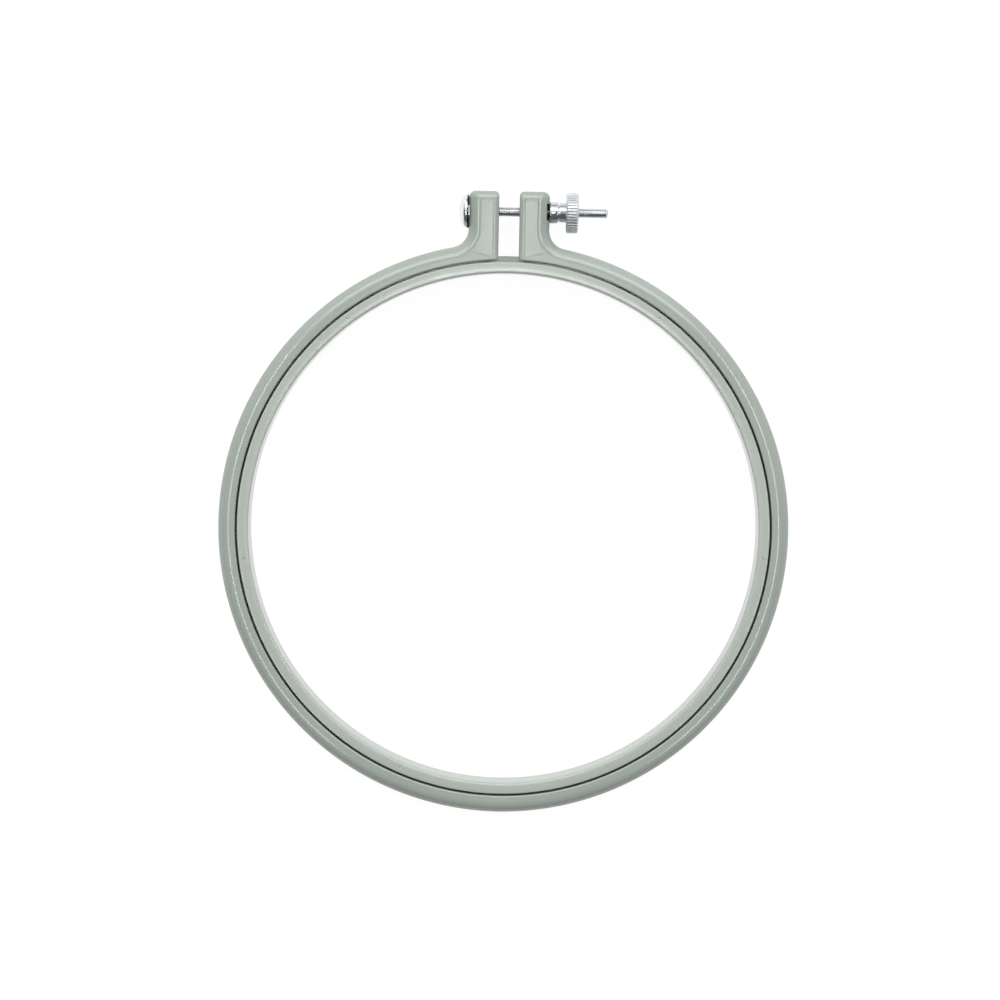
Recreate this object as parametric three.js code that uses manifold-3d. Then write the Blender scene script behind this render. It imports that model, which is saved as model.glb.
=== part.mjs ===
// A screw-type embroidery hoop, lying flat with its clamp towards +Y.
//
// The inner ring has a flange at its foot. The outer ring rests on that flange and is split
// between two lugs. A screw with a domed head and a square neck passes through both lugs, and
// a knurled thumb nut draws them together. Millimetres, +Z up.
import * as THREE from "three";
import { mergeVertices } from "three/addons/utils/BufferGeometryUtils.js";
import Module from "manifold-3d";

const wasm = await Module();
wasm.setup();

// Clearances
const SEAM_GAP = 0.4; // between the two rings, on the radius
const SEAT_GAP = 0.3; // between faces that rest on each other
const BORE_CLEARANCE = 0.3; // round the screw in the lugs and in the nut, on the radius
const SOCKET_CLEARANCE = 0.3; // round the square neck, on each side

// Inner ring
const HOOP_DIAMETER = 160; // the nominal size, across the middle of the seam
const INNER_WALL = 3.55;
const INNER_HEIGHT = 10;
const INNER_EDGE = 0.45; // rounding of its top edges
const FLANGE_REACH = 2; // how far the flange stands out past the wall
const FLANGE_THICKNESS = 1.5;
const FLANGE_EDGE = 0.3;

// Outer ring
const OUTER_WALL = 5.35;
const OUTER_HEIGHT = 8.2;
const TOP_FLAT = 1.85; // flat width between the seam edge and the ridge
const SLOPE_DROP = 3.2; // how far the top falls from the ridge to the outer wall
const SLOPE_PITCH = 0.4; // fall of the slope where it leaves the ridge, per unit of width
const SEAM_EDGE = 0.35; // rounding of the top edge at the seam
const FOOT_EDGE = 0.5; // rounding of the bottom edges

// Lugs
const LUG_GAP = 6.1;
const LUG_WIDTH = 9;
const LUG_RAISE = 1; // lug face above the ring's face
const LUG_MARGIN = 0.95; // lug beyond the screw's head, at its end
const LUG_END_SLOPE = 1.8;
const LUG_GAP_SLOPE = 1.1;
const LUG_FILLET = 5.6; // hollow curve from the lug's side into the ring
const LUG_OUTER_CORNER = 2;
const LUG_GAP_CORNER = 1.35;
const SEAM_CORNER = 1; // where the gap meets the seam
const LEAST_CORNER = 0.5;
const RAMP_LENGTH = 12; // over which the ring's face climbs to the lug's face
const RAMP_BEND = 0.3; // share of the lug's width where the ramp's foot leaves the seam

// Clamp screw
const SCREW_DIAMETER = 3;
const HEAD_DIAMETER = 10;
const HEAD_RIM = 0.5;
const HEAD_DOME = 2.25;
const HEAD_OVER_FILLET = 0.3; // the most that the head's lower edge passes the top of the fillet
const NECK_STEP = 0.2; // square neck outside the shank, on each side
const NECK_LENGTH = 2.2;
const TIP_REACH = 8.7; // screw left showing past the nut
const TIP_CHAMFER = 0.4;

// Thumb nut
const COLLAR_WALL = 1.45;
const COLLAR_LENGTH = 2.2;
const COLLAR_CHAMFER = 0.3;
const COLLAR_SEAT = 0.75; // width of the collar's bearing face round the lug's recess
const RECESS_DEPTH = 1.6;
const GROOVE_WIDTH = 0.45;
const GROOVE_DEPTH = 0.3;
const NECK_LENGTH_NUT = 1.85;
const NECK_DRAW_IN = 0.3; // nut neck inside the collar, on the radius
const DISC_RIM = 2.75; // knurled disc beyond the collar, on the radius
const DISC_WIDTH = 3.7;
const DISC_CHAMFER = 0.45;
const FINGER_ROOM = 3.15; // between the disc and the ring
const KNURL_TEETH = 40;
const KNURL_DEPTH = 0.35;
const KNURL_CREST = 0.5; // share of the pitch that the crest takes

// How finely curves are cut
const RING_SEGMENTS = 90;
const ROUND_SEGMENTS = 36;
const DOME_STEPS = 6;
const ARC_STEPS = 3; // in the inner ring's rounded edges
const EDGE_STEPS = 4;
const CORNER_STEPS = 4;
const FILLET_STEPS = 8;
const SIDE_STEPS = 4;
const END_STEPS = 2;
const GAP_STEPS = 8;
const FACE_STATIONS = [0.15, 0.3, 0.45, 0.65]; // between the seam edge and the ridge
const WELD_DISTANCE = 1e-4;
const CUT_PAST = 1; // how far a cutter runs past the faces that it cuts

// Places that follow from the sizes
const SEAM_RADIUS = HOOP_DIAMETER / 2;
const INNER_OUTSIDE = SEAM_RADIUS - SEAM_GAP / 2;
const INNER_INSIDE = INNER_OUTSIDE - INNER_WALL;
const OUTER_INSIDE = SEAM_RADIUS + SEAM_GAP / 2;
const OUTER_OUTSIDE = OUTER_INSIDE + OUTER_WALL;
const SLOPE_WIDTH = OUTER_WALL - SEAM_EDGE - TOP_FLAT;
const OUTER_BOTTOM = FLANGE_THICKNESS + SEAT_GAP;
const OUTER_TOP = OUTER_BOTTOM + OUTER_HEIGHT;
const LUG_TOP = OUTER_TOP + LUG_RAISE;
const GAP_X = LUG_GAP / 2;
const SIDE_X = GAP_X + LUG_WIDTH;
const FILLET_X = SIDE_X + LUG_FILLET;
const FILLET_Y = Math.sqrt((OUTER_OUTSIDE + LUG_FILLET) ** 2 - FILLET_X ** 2);
const FOOT_ANGLE = Math.acos((SIDE_X - SLOPE_WIDTH) / (OUTER_INSIDE + SEAM_EDGE)); // below the lug's side ridge
const HEAD_RADIUS = HEAD_DIAMETER / 2;
const BORE_RADIUS = SCREW_DIAMETER / 2 + BORE_CLEARANCE;
const COLLAR_RADIUS = BORE_RADIUS + COLLAR_WALL;
const DISC_RADIUS = COLLAR_RADIUS + DISC_RIM;
const AXIS_Y = Math.max(
  FILLET_Y + HEAD_RADIUS - HEAD_OVER_FILLET,
  OUTER_OUTSIDE + FINGER_ROOM + DISC_RADIUS,
);
const AXIS_Z = (OUTER_BOTTOM + LUG_TOP) / 2;
const LUG_END_Y = AXIS_Y + HEAD_RADIUS + LUG_MARGIN;
const CENTRE_Y = -(LUG_END_Y - OUTER_OUTSIDE) / 2; // ring centre, with the origin mid-way along Y
const SEAT_X = SIDE_X + SEAT_GAP; // faces of the head and the collar, either side of the lugs
const NUT_LENGTH = COLLAR_LENGTH + GROOVE_WIDTH + NECK_LENGTH_NUT + DISC_WIDTH;
const SHANK_LENGTH = 2 * SEAT_X + NUT_LENGTH + TIP_REACH;
const NECK_SIDE = SCREW_DIAMETER + 2 * NECK_STEP;

const moulded = { color: 0xbcc5bb, roughness: 0.32, metalness: 0 };
const innerPlastic = new THREE.MeshStandardMaterial({ ...moulded, name: "inner_plastic" });
const outerPlastic = new THREE.MeshStandardMaterial({ ...moulded, color: 0xb4beb3, name: "outer_plastic" });
const nickel = new THREE.MeshStandardMaterial({
  color: 0xc4c8cb,
  roughness: 0.25,
  metalness: 1,
  name: "nickel",
});

// A closed three.js geometry as a manifold solid, and back
function solidFrom(geometry) {
  const bare = new THREE.BufferGeometry();
  bare.setAttribute("position", geometry.getAttribute("position"));
  bare.setIndex(geometry.index);
  const merged = mergeVertices(bare, WELD_DISTANCE);
  const corners = [];
  for (let i = 0; i < merged.index.count; i += 3) {
    const [a, b, c] = [0, 1, 2].map((k) => merged.index.getX(i + k));
    if (a !== b && b !== c && c !== a) corners.push(a, b, c);
  }
  const mesh = new wasm.Mesh({
    numProp: 3,
    vertProperties: merged.getAttribute("position").array,
    triVerts: new Uint32Array(corners),
  });
  return new wasm.Manifold(mesh);
}

function geometryFrom(solid) {
  const mesh = solid.getMesh();
  const geometry = new THREE.BufferGeometry();
  geometry.setAttribute("position", new THREE.BufferAttribute(mesh.vertProperties, 3));
  geometry.setIndex(new THREE.BufferAttribute(mesh.triVerts, 1));
  geometry.computeVertexNormals();
  return geometry;
}

// Profiles: a quarter arc of a profile, and a revolve about the X axis from x = 0
function quarterArc(x, y, radius, from) {
  const points = [];
  for (let i = 0; i <= ARC_STEPS; i += 1) {
    const angle = from + ((Math.PI / 2) * i) / ARC_STEPS;
    points.push(new THREE.Vector2(x + radius * Math.cos(angle), y + radius * Math.sin(angle)));
  }
  return points;
}

function turnedAlongX(profile) {
  return solidFrom(new THREE.LatheGeometry(profile, ROUND_SEGMENTS).rotateZ(-Math.PI / 2));
}

function rodAlongX(radius, from, to) {
  const rod = new THREE.CylinderGeometry(radius, radius, to - from, ROUND_SEGMENTS);
  return solidFrom(rod.rotateZ(-Math.PI / 2).translate((from + to) / 2, 0, 0));
}

function boxAlongX(side, from, to) {
  const box = new THREE.BoxGeometry(to - from, side, side);
  return solidFrom(box.translate((from + to) / 2, 0, 0));
}

// Inner ring: one revolved profile, wall and flange together
function innerRing() {
  const flangeOutside = INNER_OUTSIDE + FLANGE_REACH;
  const top = INNER_HEIGHT - INNER_EDGE;
  const profile = [
    new THREE.Vector2(INNER_INSIDE, FLANGE_EDGE),
    new THREE.Vector2(INNER_INSIDE + FLANGE_EDGE, 0),
    new THREE.Vector2(flangeOutside - FLANGE_EDGE, 0),
    new THREE.Vector2(flangeOutside, FLANGE_EDGE),
    new THREE.Vector2(flangeOutside, FLANGE_THICKNESS - FLANGE_EDGE),
    new THREE.Vector2(flangeOutside - FLANGE_EDGE, FLANGE_THICKNESS),
    new THREE.Vector2(INNER_OUTSIDE, FLANGE_THICKNESS),
    ...quarterArc(INNER_OUTSIDE - INNER_EDGE, top, INNER_EDGE, 0),
    ...quarterArc(INNER_INSIDE + INNER_EDGE, top, INNER_EDGE, Math.PI / 2),
    new THREE.Vector2(INNER_INSIDE, FLANGE_EDGE),
  ];
  const turned = new THREE.LatheGeometry(profile, RING_SEGMENTS).rotateX(Math.PI / 2);
  return geometryFrom(solidFrom(turned));
}

// Outer ring: its outline in plan, drawn in by a width on each kind of edge. Both lists run
// from the far side of the ring to the point where the gap's corner meets the seam, so that
// points with the same number face each other across the ring. The seam's points pass the lug's
// ridge where its fillet ends, so that no line between facing points leaves the outline.
function arcPoints(x, y, radius, from, to, steps) {
  return Array.from({ length: steps }, (_, i) => {
    const angle = from + ((to - from) * i) / steps;
    return new THREE.Vector2(x + radius * Math.cos(angle), y + radius * Math.sin(angle));
  });
}

function linePoints(from, to, steps) {
  return Array.from({ length: steps }, (_, i) => from.clone().lerp(to, i / steps));
}

function planOutline({ side = 0, end = 0, gap = 0, seam = 0 }) {
  const corner = (radius, inset) => Math.max(radius - inset, LEAST_CORNER);
  const outerCorner = corner(LUG_OUTER_CORNER, side);
  const gapCorner = corner(LUG_GAP_CORNER, gap);
  const seamCorner = corner(SEAM_CORNER, seam);
  const sideX = SIDE_X - side;
  const endY = LUG_END_Y - end;
  const gapX = GAP_X + gap;
  const inside = OUTER_INSIDE + seam;
  const seamX = gapX + seamCorner;
  const seamY = Math.sqrt((inside + seamCorner) ** 2 - seamX ** 2);
  const far = -Math.PI / 2;
  const tangent = Math.atan2(FILLET_Y, FILLET_X);
  const seamAngle = Math.atan2(seamY, seamX);
  const ringSteps = Math.round((RING_SEGMENTS * (tangent - far)) / (2 * Math.PI));

  const outer = [
    ...arcPoints(0, 0, OUTER_OUTSIDE - side, far, tangent, ringSteps),
    ...arcPoints(FILLET_X, FILLET_Y, LUG_FILLET + side, tangent + Math.PI, Math.PI, FILLET_STEPS),
    ...linePoints(
      new THREE.Vector2(sideX, FILLET_Y),
      new THREE.Vector2(sideX, endY - outerCorner),
      SIDE_STEPS,
    ),
    ...arcPoints(sideX - outerCorner, endY - outerCorner, outerCorner, 0, Math.PI / 2, CORNER_STEPS),
    ...linePoints(
      new THREE.Vector2(sideX - outerCorner, endY),
      new THREE.Vector2(gapX + gapCorner, endY),
      END_STEPS,
    ),
    ...arcPoints(gapX + gapCorner, endY - gapCorner, gapCorner, Math.PI / 2, Math.PI, CORNER_STEPS),
    ...linePoints(
      new THREE.Vector2(gapX, endY - gapCorner),
      new THREE.Vector2(gapX, seamY),
      GAP_STEPS,
    ),
    ...arcPoints(seamX, seamY, seamCorner, Math.PI, Math.PI + seamAngle, CORNER_STEPS),
  ];
  const lugSteps = outer.length - ringSteps - FILLET_STEPS;
  const inner = [
    ...arcPoints(0, 0, inside, far, tangent, ringSteps),
    ...arcPoints(0, 0, inside, tangent, FOOT_ANGLE, FILLET_STEPS),
    ...arcPoints(0, 0, inside, FOOT_ANGLE, seamAngle, lugSteps),
  ];
  const meeting = new THREE.Vector2(inside * Math.cos(seamAngle), inside * Math.sin(seamAngle));
  return { outer: [...outer, meeting], inner: [...inner, meeting] };
}

// How far the top falls towards each point of the outline, blended round the corners
function topDrops(count) {
  const corner = (from, to) =>
    Array.from({ length: CORNER_STEPS }, (_, i) => from + ((to - from) * i) / CORNER_STEPS);
  const lug = [
    ...corner(SLOPE_DROP, LUG_END_SLOPE),
    ...Array(END_STEPS).fill(LUG_END_SLOPE),
    ...corner(LUG_END_SLOPE, LUG_GAP_SLOPE),
    ...Array(GAP_STEPS).fill(LUG_GAP_SLOPE),
    ...corner(LUG_GAP_SLOPE, SEAM_EDGE),
    SEAM_EDGE,
  ];
  return [...Array(count - lug.length).fill(SLOPE_DROP), ...lug];
}

// Height of the top face: the ring's level, climbing to the lug's level past a foot line that
// runs from the ridge, at the lug's side, to the seam, at the gap
function faceHeight(point) {
  const ridge = SEAM_EDGE + TOP_FLAT;
  const across = THREE.MathUtils.clamp((point.x - GAP_X) / LUG_WIDTH, 0, 1);
  const foot = OUTER_INSIDE + ridge * THREE.MathUtils.smoothstep(across, RAMP_BEND, 1);
  const past = point.length() - foot;
  return OUTER_TOP + LUG_RAISE * THREE.MathUtils.smoothstep(past, 0, RAMP_LENGTH);
}

// A rounded top edge, from the wall up to the ridge: it leaves the wall upright and meets the
// ridge at the slope's pitch
function edgeCurve(wall, ridge, drop) {
  const top = faceHeight(ridge);
  const fall = Math.min(SLOPE_PITCH * wall.distanceTo(ridge), drop);
  const curve = new THREE.QuadraticBezierCurve3(
    new THREE.Vector3(wall.x, wall.y, top - drop),
    new THREE.Vector3(wall.x, wall.y, top - fall),
    new THREE.Vector3(ridge.x, ridge.y, top),
  );
  return curve.getPoints(EDGE_STEPS);
}

// The ring's closed section at each station of the half outline, inner foot to outer foot
function ringSections() {
  const wall = planOutline({});
  const ridge = planOutline({
    side: SLOPE_WIDTH,
    end: LUG_END_SLOPE,
    gap: LUG_GAP_SLOPE,
    seam: SEAM_EDGE,
  });
  const foot = planOutline({ side: FOOT_EDGE, end: FOOT_EDGE, gap: FOOT_EDGE, seam: SEAM_EDGE });
  const drops = topDrops(wall.outer.length);
  const at = (point, z) => new THREE.Vector3(point.x, point.y, z);
  return drops.map((drop, i) => [
    at(foot.inner[i], OUTER_BOTTOM),
    at(wall.inner[i], OUTER_BOTTOM + FOOT_EDGE),
    ...edgeCurve(wall.inner[i], ridge.inner[i], SEAM_EDGE),
    ...FACE_STATIONS.map((share) => {
      const point = ridge.inner[i].clone().lerp(ridge.outer[i], share);
      return at(point, faceHeight(point));
    }),
    ...edgeCurve(wall.outer[i], ridge.outer[i], drop).reverse(),
    at(wall.outer[i], OUTER_BOTTOM + FOOT_EDGE),
    at(foot.outer[i], OUTER_BOTTOM),
  ]);
}

function outerRing() {
  const half = ringSections();
  const mirrored = half.slice(1).map((section) => section.map((p) => new THREE.Vector3(-p.x, p.y, p.z)));
  const sections = [...mirrored.reverse(), ...half];
  const around = half[0].length;
  const positions = sections.flat().flatMap((p) => [p.x, p.y, p.z]);
  const index = [];
  for (let s = 0; s + 1 < sections.length; s += 1) {
    for (let k = 0; k < around; k += 1) {
      const next = (k + 1) % around;
      const [a, b] = [s * around + k, s * around + next];
      const [c, d] = [a + around, b + around];
      index.push(a, b, c, b, d, c);
    }
  }
  const swept = new THREE.BufferGeometry();
  swept.setAttribute("position", new THREE.Float32BufferAttribute(positions, 3));
  swept.setIndex(index);

  const recessRadius = COLLAR_RADIUS - COLLAR_SEAT;
  const socketSide = NECK_SIDE + 2 * SOCKET_CLEARANCE;
  const holes = [
    rodAlongX(BORE_RADIUS, -SIDE_X - CUT_PAST, SIDE_X + CUT_PAST),
    rodAlongX(recessRadius, SIDE_X - RECESS_DEPTH, SIDE_X + CUT_PAST),
    boxAlongX(socketSide, -SIDE_X - CUT_PAST, -SIDE_X + NECK_LENGTH),
  ];
  const cut = holes.reduce(
    (body, hole) => body.subtract(hole.translate([0, AXIS_Y, AXIS_Z])),
    solidFrom(swept),
  );
  return geometryFrom(cut);
}

// Clamp screw: the underside of its head is at x = 0 and its shank runs towards +X
function clampScrew() {
  const radius = SCREW_DIAMETER / 2;
  const dome = Array.from({ length: DOME_STEPS }, (_, i) => {
    const angle = (Math.PI / 2) * (i / DOME_STEPS);
    return new THREE.Vector2(HEAD_RADIUS * Math.sin(angle), -HEAD_RIM - HEAD_DOME * Math.cos(angle));
  });
  const profile = [
    ...dome,
    new THREE.Vector2(HEAD_RADIUS, -HEAD_RIM),
    new THREE.Vector2(HEAD_RADIUS, 0),
    new THREE.Vector2(radius, 0),
    new THREE.Vector2(radius, SHANK_LENGTH - TIP_CHAMFER),
    new THREE.Vector2(radius - TIP_CHAMFER, SHANK_LENGTH),
    new THREE.Vector2(0, SHANK_LENGTH),
  ];
  return geometryFrom(turnedAlongX(profile).add(boxAlongX(NECK_SIDE, -HEAD_RIM / 2, NECK_LENGTH)));
}

// Knurled disc: a toothed blank, trimmed by a turned blank that gives it its chamfers
function knurledBlank(from) {
  const outline = new THREE.Shape();
  const pitch = (2 * Math.PI) / KNURL_TEETH;
  const flank = (1 - KNURL_CREST) / 4;
  for (let tooth = 0; tooth < KNURL_TEETH; tooth += 1) {
    const corners = [
      [DISC_RADIUS - KNURL_DEPTH, flank],
      [DISC_RADIUS, 2 * flank],
      [DISC_RADIUS, 1 - 2 * flank],
      [DISC_RADIUS - KNURL_DEPTH, 1 - flank],
    ];
    for (const [radius, share] of corners) {
      const angle = (tooth + share) * pitch;
      const [x, y] = [radius * Math.cos(angle), radius * Math.sin(angle)];
      if (tooth === 0 && share === flank) outline.moveTo(x, y);
      else outline.lineTo(x, y);
    }
  }
  const blank = new THREE.ExtrudeGeometry(outline, { depth: DISC_WIDTH, bevelEnabled: false });
  const toothed = solidFrom(blank.rotateY(Math.PI / 2).translate(from, 0, 0));
  const outside = DISC_RADIUS + CUT_PAST;
  const faceRadius = DISC_RADIUS - DISC_CHAMFER - CUT_PAST;
  const trim = turnedAlongX([
    new THREE.Vector2(0, from - CUT_PAST),
    new THREE.Vector2(faceRadius, from - CUT_PAST),
    new THREE.Vector2(outside, from + DISC_CHAMFER + CUT_PAST),
    new THREE.Vector2(outside, from + DISC_WIDTH - DISC_CHAMFER - CUT_PAST),
    new THREE.Vector2(faceRadius, from + DISC_WIDTH + CUT_PAST),
    new THREE.Vector2(0, from + DISC_WIDTH + CUT_PAST),
  ]);
  return toothed.intersect(trim);
}

// Thumb nut: its bearing face is at x = 0; collar, groove, neck and disc follow towards +X
function thumbNut() {
  const neckRadius = COLLAR_RADIUS - NECK_DRAW_IN;
  const discStart = NUT_LENGTH - DISC_WIDTH;
  const grooveEnd = COLLAR_LENGTH + GROOVE_WIDTH;
  const barrel = turnedAlongX([
    new THREE.Vector2(0, 0),
    new THREE.Vector2(COLLAR_RADIUS - COLLAR_CHAMFER, 0),
    new THREE.Vector2(COLLAR_RADIUS, COLLAR_CHAMFER),
    new THREE.Vector2(COLLAR_RADIUS, COLLAR_LENGTH - COLLAR_CHAMFER),
    new THREE.Vector2(COLLAR_RADIUS - COLLAR_CHAMFER, COLLAR_LENGTH),
    new THREE.Vector2(neckRadius - GROOVE_DEPTH, COLLAR_LENGTH),
    new THREE.Vector2(neckRadius - GROOVE_DEPTH, grooveEnd),
    new THREE.Vector2(neckRadius, grooveEnd),
    new THREE.Vector2(neckRadius, discStart + DISC_WIDTH / 2),
    new THREE.Vector2(0, discStart + DISC_WIDTH / 2),
  ]);
  const bore = rodAlongX(BORE_RADIUS, -CUT_PAST, NUT_LENGTH + CUT_PAST);
  return geometryFrom(barrel.add(knurledBlank(discStart)).subtract(bore));
}

function piece(name, geometry, material, x = 0, y = 0, z = 0) {
  const mesh = new THREE.Mesh(geometry, material);
  mesh.name = name;
  mesh.position.set(x, y, z);
  return mesh;
}

const hoop = new THREE.Group();
hoop.position.y = CENTRE_Y;
hoop.add(
  piece("inner_ring", innerRing(), innerPlastic),
  piece("outer_ring", outerRing(), outerPlastic),
  piece("clamp_screw", clampScrew(), nickel, -SEAT_X, AXIS_Y, AXIS_Z),
  piece("thumb_nut", thumbNut(), nickel, SEAT_X, AXIS_Y, AXIS_Z),
);

export default hoop;
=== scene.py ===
# A screw-type embroidery hoop, lying flat with its clamp towards +Y, seen from straight above.
# Sizes are in metres. Each section makes one piece of the hoop, in the order of assembly.
import math

import bmesh
import bpy
import numpy as np
from mathutils import Matrix, Vector


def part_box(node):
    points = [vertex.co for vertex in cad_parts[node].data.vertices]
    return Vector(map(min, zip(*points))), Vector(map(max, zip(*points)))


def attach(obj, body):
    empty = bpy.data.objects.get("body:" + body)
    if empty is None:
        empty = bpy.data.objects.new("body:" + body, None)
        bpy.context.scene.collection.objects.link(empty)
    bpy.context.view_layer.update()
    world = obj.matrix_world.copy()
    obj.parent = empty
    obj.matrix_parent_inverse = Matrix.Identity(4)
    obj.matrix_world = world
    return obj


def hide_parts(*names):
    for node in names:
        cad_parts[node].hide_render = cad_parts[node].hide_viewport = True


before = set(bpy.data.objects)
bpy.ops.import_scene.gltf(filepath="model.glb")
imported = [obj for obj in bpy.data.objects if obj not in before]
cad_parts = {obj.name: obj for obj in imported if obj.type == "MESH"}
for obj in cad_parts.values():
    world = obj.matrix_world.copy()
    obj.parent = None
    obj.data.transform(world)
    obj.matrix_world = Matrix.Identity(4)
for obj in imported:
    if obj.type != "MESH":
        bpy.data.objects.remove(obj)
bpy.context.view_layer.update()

# Inner ring. One plastic moulding: a plain band with a flange at its foot, which carries the outer
# ring. It is turned here from one profile. The mould's six pins left small arrowheads in its top
# face, each pointing at the seam.
inner_low, inner_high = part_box("inner_ring")
CENTRE_Y = (inner_low.y + inner_high.y) / 2
FLANGE_OUTSIDE = (inner_high.y - inner_low.y) / 2
FLANGE_REACH = 0.00211
FLANGE_THICKNESS = 0.0015
FLANGE_EDGE = 0.0003
FLANGE_ROOT = 0.0002
INNER_WALL = 0.00336
INNER_EDGE = 0.00045  # beside the seam
CLOTH_EDGE = 0.00085  # round the middle, where the cloth bends
CROWN = 0.00004  # of the top face
INNER_OUTSIDE = FLANGE_OUTSIDE - FLANGE_REACH
INNER_INSIDE = INNER_OUTSIDE - INNER_WALL
INNER_TOP = inner_high.z
MARK_ANGLES = (54.6, 127.6, 187.6, 247.6, 294.6, 354.6)
MARK_LENGTH = 0.0014
MARK_HALF_WIDTH = 0.0006
MARK_FROM_EDGE = 0.0001  # from the rounded edge to the arrowhead's point
MARK_DEPTH = 0.0002
MARK_SIDE = 0.00015  # over which a mark's edge falls
MARK_MARGIN = 1.3  # half widths of a mark that its fine columns reach to each side
MARK_COLUMNS = 25
EVEN_STEP = 0.75  # degrees, from one column to the next all the way round
CROWN_ROWS = 36
ROUND_STEPS = 10
MERGE_REACH = 1e-7
PLASTIC_CREASE = 40  # degrees, over which an edge is drawn hard
INNER_COLOUR = (0.445, 0.488, 0.437)
PLASTIC_IOR = 1.49
PLASTIC_SHINE = 0.75
LEAST_ROUGH = 0.12
MOST_ROUGH = 0.19
POLISHED_SHARE = 0.3  # of the roughness, where the mould was polished
POLISH_FADE = 0.0005
COLOUR_SWING = 0.04
CLOUD_SHARE = 0.6  # of the swing
SPECK_SHARE = 0.4
CLOUD_WAVES = 45  # a metre, as the next four are
SPECK_WAVES = 1400
GLOSS_WAVES = 110
FLOW_WAVES = 160
GRAIN_WAVES = 3500
FLOW_HEIGHT = 0.00012
FLOW_STRENGTH = 0.3
GRAIN_HEIGHT = 0.00001
GRAIN_STRENGTH = 0.25


def rounded(corners, steps):
    """A closed line through corners (a, b, reach). A corner with a reach becomes a quadratic curve
    that leaves the line that far before the corner and joins it again that far after."""
    corners = np.array(corners, float)
    places, reaches = corners[:, :2], corners[:, 2]
    befores, afters = np.roll(places, 1, 0), np.roll(places, -1, 0)
    pieces = []
    for place, reach, last, following in zip(places, reaches, befores, afters):
        start = place + (last - place) / np.linalg.norm(last - place) * reach
        end = place + (following - place) / np.linalg.norm(following - place) * reach
        pieces.append(bend(start, place, end, steps) if reach else place[None])
    return np.concatenate(pieces)


def bend(start, control, end, steps):
    """Points of the quadratic curve (1-t)^2 start + 2t(1-t) control + t^2 end, on a new first axis."""
    t = np.linspace(0, 1, steps + 1).reshape(-1, *[1] * np.ndim(start))
    return (1 - t) ** 2 * start + 2 * t * (1 - t) * control + t**2 * end


def surface(name, grid, rows_close=False):
    """An object whose mesh joins a grid of points (rows, columns, 3). The columns close on
    themselves, and so do the rows where rows_close says so. Points that coincide are merged, which
    closes seams and poles."""
    rows, columns = grid.shape[:2]
    index = np.arange(rows * columns).reshape(rows, columns)
    lower = index if rows_close else index[:-1]
    upper = np.roll(index, -1, axis=0) if rows_close else index[1:]
    quads = np.stack([lower, np.roll(lower, -1, 1), np.roll(upper, -1, 1), upper], axis=-1)
    mesh = bpy.data.meshes.new(name)
    mesh.from_pydata(grid.reshape(-1, 3).tolist(), [], quads.reshape(-1, 4).tolist())
    work = bmesh.new()
    work.from_mesh(mesh)
    bmesh.ops.remove_doubles(work, verts=work.verts, dist=MERGE_REACH)
    bmesh.ops.recalc_face_normals(work, faces=work.faces)
    work.to_mesh(mesh)
    work.free()
    piece = bpy.data.objects.new(name, mesh)
    bpy.context.scene.collection.objects.link(piece)
    return piece


def dress(piece, sharp_degrees, material, body):
    """Smooth shading that keeps creases over an angle hard and flat faces flat, the material, and
    the CAD body and material slot that the piece belongs to."""
    piece.data.shade_smooth()
    piece.data.set_sharp_from_angle(angle=math.radians(sharp_degrees))
    flat_faces = piece.modifiers.new("flat_faces", "WEIGHTED_NORMAL")
    flat_faces.keep_sharp = True
    piece.data.materials.clear()
    piece.data.materials.append(material)
    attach(piece, body)
    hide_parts(body)


def noise(nodes, links, place, scale, detail):
    """A noise texture of so many waves a metre, read at a place."""
    texture = nodes.new("ShaderNodeTexNoise")
    texture.inputs["Scale"].default_value = scale
    texture.inputs["Detail"].default_value = detail
    links.new(place, texture.inputs["Vector"])
    return texture.outputs["Fac"]


def spread(nodes, links, source, low, high, start=0.3, stop=0.7):
    """Takes a value's range from start to stop, the middle of a noise's range unless they are
    given, to low and high, and holds it there beyond them."""
    ramp = nodes.new("ShaderNodeMapRange")
    ramp.inputs["From Min"].default_value = start
    ramp.inputs["From Max"].default_value = stop
    ramp.inputs["To Min"].default_value = low
    ramp.inputs["To Max"].default_value = high
    links.new(source, ramp.inputs["Value"])
    return ramp.outputs["Result"]


def raised(nodes, links, height, distance, strength, under=None):
    """A bump from a height, on top of another bump where there is one."""
    bump = nodes.new("ShaderNodeBump")
    bump.inputs["Distance"].default_value = distance
    bump.inputs["Strength"].default_value = strength
    links.new(height, bump.inputs["Height"])
    if under:
        links.new(under, bump.inputs["Normal"])
    return bump.outputs["Normal"]


def tinted(nodes, links, factor, colour, swing):
    """A colour that goes by a share from darker to lighter as a factor goes from 0 to 1."""
    tint = nodes.new("ShaderNodeMix")
    tint.data_type = "RGBA"
    tint.inputs["A"].default_value = (*[c * (1 - swing) for c in colour], 1)
    tint.inputs["B"].default_value = (*[c * (1 + swing) for c in colour], 1)
    links.new(factor, tint.inputs["Factor"])
    return tint.outputs["Result"]


def joined(nodes, links, operation, first, second):
    """Two values put through one sum."""
    both = nodes.new("ShaderNodeMath")
    both.operation = operation
    links.new(first, both.inputs[0])
    links.new(second, both.inputs[1])
    return both.outputs[0]


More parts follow.
